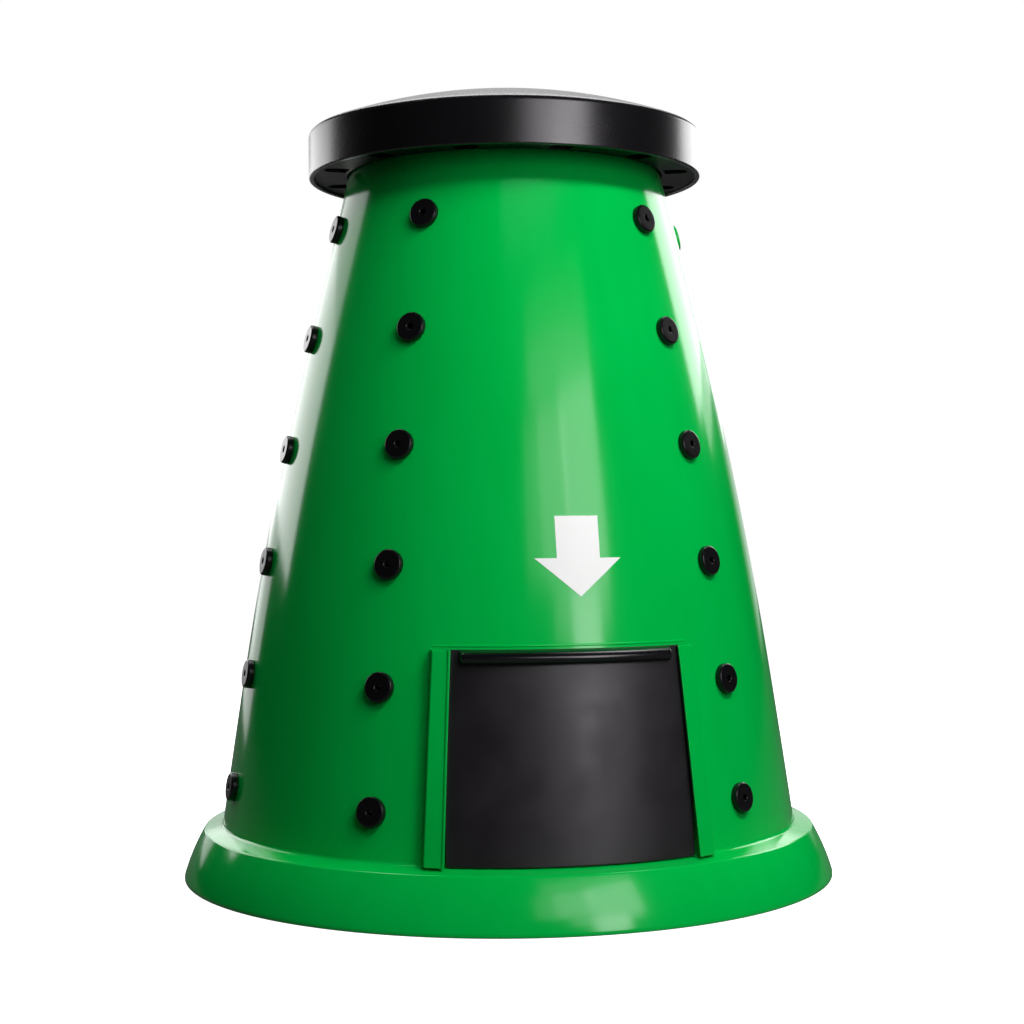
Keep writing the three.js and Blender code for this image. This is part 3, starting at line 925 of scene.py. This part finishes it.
def pale_floor():
    """A wide pale floor. Its own light for camera and glass rays keeps it white, gloss sees it dimmer, and the
    bin's shadow stays. Light that bounces off it to the bin is held back. The ground inside the bin is dark."""
    corners = np.array([[-1, -1, 0], [1, -1, 0], [1, 1, 0], [-1, 1, 0]]) * FLOOR_SPAN
    floor = solid_object("floor", corners - [0, 0, FLOOR_DROP], [[0, 1, 2, 3]])
    finish = bpy.data.materials.new("floor_white")
    finish.use_nodes = True
    tree = finish.node_tree
    tree.nodes.clear()
    paths = add_node(tree, "ShaderNodeLightPath").outputs
    seen = maths(tree, paths["Is Camera Ray"], paths["Is Transmission Ray"])
    place = add_node(tree, "ShaderNodeTexCoord").outputs["Object"]
    reach = add_node(tree, "ShaderNodeVectorMath", {0: place}, operation="LENGTH").outputs["Value"]
    dark_within, lit_beyond = FOOT_RADIUS - DARK_GROUND_INSET, FOOT_RADIUS - LIT_GROUND_INSET
    glow = maths(tree, seen, between(tree, reach, 0.0, FLOOR_GLOW, dark_within, lit_beyond), "MULTIPLY")
    gloss = maths(tree, paths["Is Glossy Ray"], FLOOR_IN_GLOSS, "MULTIPLY")
    light = add_node(tree, "ShaderNodeEmission", {"Strength": maths(tree, glow, gloss)})
    held = maths(tree, paths["Is Diffuse Ray"], paths["Is Glossy Ray"])
    bounce = between(tree, held, FLOOR_PAINT, FLOOR_BOUNCE, 0.0, 1.0)
    paint = add_node(tree, "ShaderNodeBsdfDiffuse", {"Color": bounce})
    both = add_node(tree, "ShaderNodeAddShader", {0: light.outputs[0], 1: paint.outputs[0]})
    add_node(tree, "ShaderNodeOutputMaterial", {"Surface": both.outputs[0]})
    floor.data.materials.append(finish)


def studio_world():
    """White for camera rays, bright behind the bin and dark in front for gloss, and faint for diffuse rays."""
    world = bpy.data.worlds.new("studio")
    scene.world = world
    world.use_nodes = True
    tree = world.node_tree
    tree.nodes.clear()
    paths = add_node(tree, "ShaderNodeLightPath").outputs
    way = add_node(tree, "ShaderNodeTexCoord").outputs["Generated"]
    ahead = tuple(-around(CAMERA_AZIMUTH))
    facing = add_node(tree, "ShaderNodeVectorMath", {0: way, 1: ahead}, operation="DOT_PRODUCT")
    sheen = between(tree, facing.outputs["Value"], SKY_FRONT, SKY_BACK, *SKY_FADE)
    seen = maths(tree, paths["Is Camera Ray"], paths["Is Transmission Ray"])
    gloss = maths(tree, paths["Is Glossy Ray"], sheen, "MULTIPLY")
    dim = maths(tree, paths["Is Diffuse Ray"], SKY_FILL, "MULTIPLY")
    total = maths(tree, maths(tree, seen, gloss), dim)
    back = add_node(tree, "ShaderNodeBackground", {"Color": (1.0, 1.0, 1.0, 1.0), "Strength": total})
    add_node(tree, "ShaderNodeOutputWorld", {"Surface": back.outputs[0]})


def softbox(name, azimuth, elevation, width, height, radiance, distance=2.4, in_gloss=True, aim=0.5):
    """A flat lamp at an angle right of the camera and above a point on the bin's axis, facing it.
    The aim is that point's height. The power is radiance x pi x area, so that its brightness in a
    reflection is the radiance."""
    data = bpy.data.lights.new(name, "AREA")
    data.shape = "RECTANGLE"
    data.size = width
    data.size_y = height
    data.energy = radiance * math.pi * width * height
    lamp = bpy.data.objects.new(name, data)
    rise = math.radians(elevation)
    middle = Vector((0.0, 0.0, aim))
    away = around(CAMERA_AZIMUTH + azimuth) * math.cos(rise) + Vector((0.0, 0.0, math.sin(rise)))
    lamp.location = middle + away * distance
    lamp.rotation_mode = "QUATERNION"
    lamp.rotation_quaternion = away.to_track_quat("Z", "Y")
    lamp.visible_camera = False
    lamp.visible_glossy = in_gloss
    scene.collection.objects.link(lamp)


pale_floor()
studio_world()
softbox("key_main", 36.4, 19.5, 0.72, 0.632, 4.1)
softbox("key_left", 22, 19.5, 0.504, 0.55, 2.8)
softbox("key_edge", 12.5, 19, 0.294, 0.50, 1.2)
softbox("key_top", 29, 29.2, 1.33, 0.19, 1.4)
softbox("key_tip", 29, 33.2, 1.33, 0.145, 0.4)
softbox("key_low", 33, 8.2, 0.50, 0.318, 6.2)
softbox("key_low_left", 23.5, 10.2, 0.294, 0.16, 2.2)
softbox("key_low_right", 41.5, 10.2, 0.21, 0.16, 2.2)
softbox("key_foot", 32.0, 0.2, 0.40, 0.352, 3.8)
softbox("left_rim", -131.5, 12.5, 1.51, 0.76, 3.0)
softbox("left_rim_top", -131.5, 27, 1.51, 0.46, 1.8)
softbox("left_rim_low", -142, -3.2, 0.84, 0.56, 1.1)
softbox("right_rim", 133.5, 22, 1.24, 0.675, 4.2)
softbox("right_rim_low", 136, 12.6, 1.02, 0.16, 1.6)
softbox("left_back", -159, 9, 0.72, 0.80, 1.4)
softbox("right_back", 158, 15, 0.60, 0.80, 1.5)
softbox("top_back", 180, 74, 2.4, 0.70, 5.0, distance=2.2)
softbox("top_back_low", 180, 54, 2.4, 0.78, 2.4, distance=2.2)
softbox("fill_middle", 17, 37, 1.2, 0.30, 20.0, in_gloss=False, aim=0.83)
softbox("fill_right", 48, 39, 1.2, 0.30, 30.0, in_gloss=False, aim=0.83)
softbox("fill_left", -62, 50, 1.2, 0.60, 1.0, in_gloss=False)
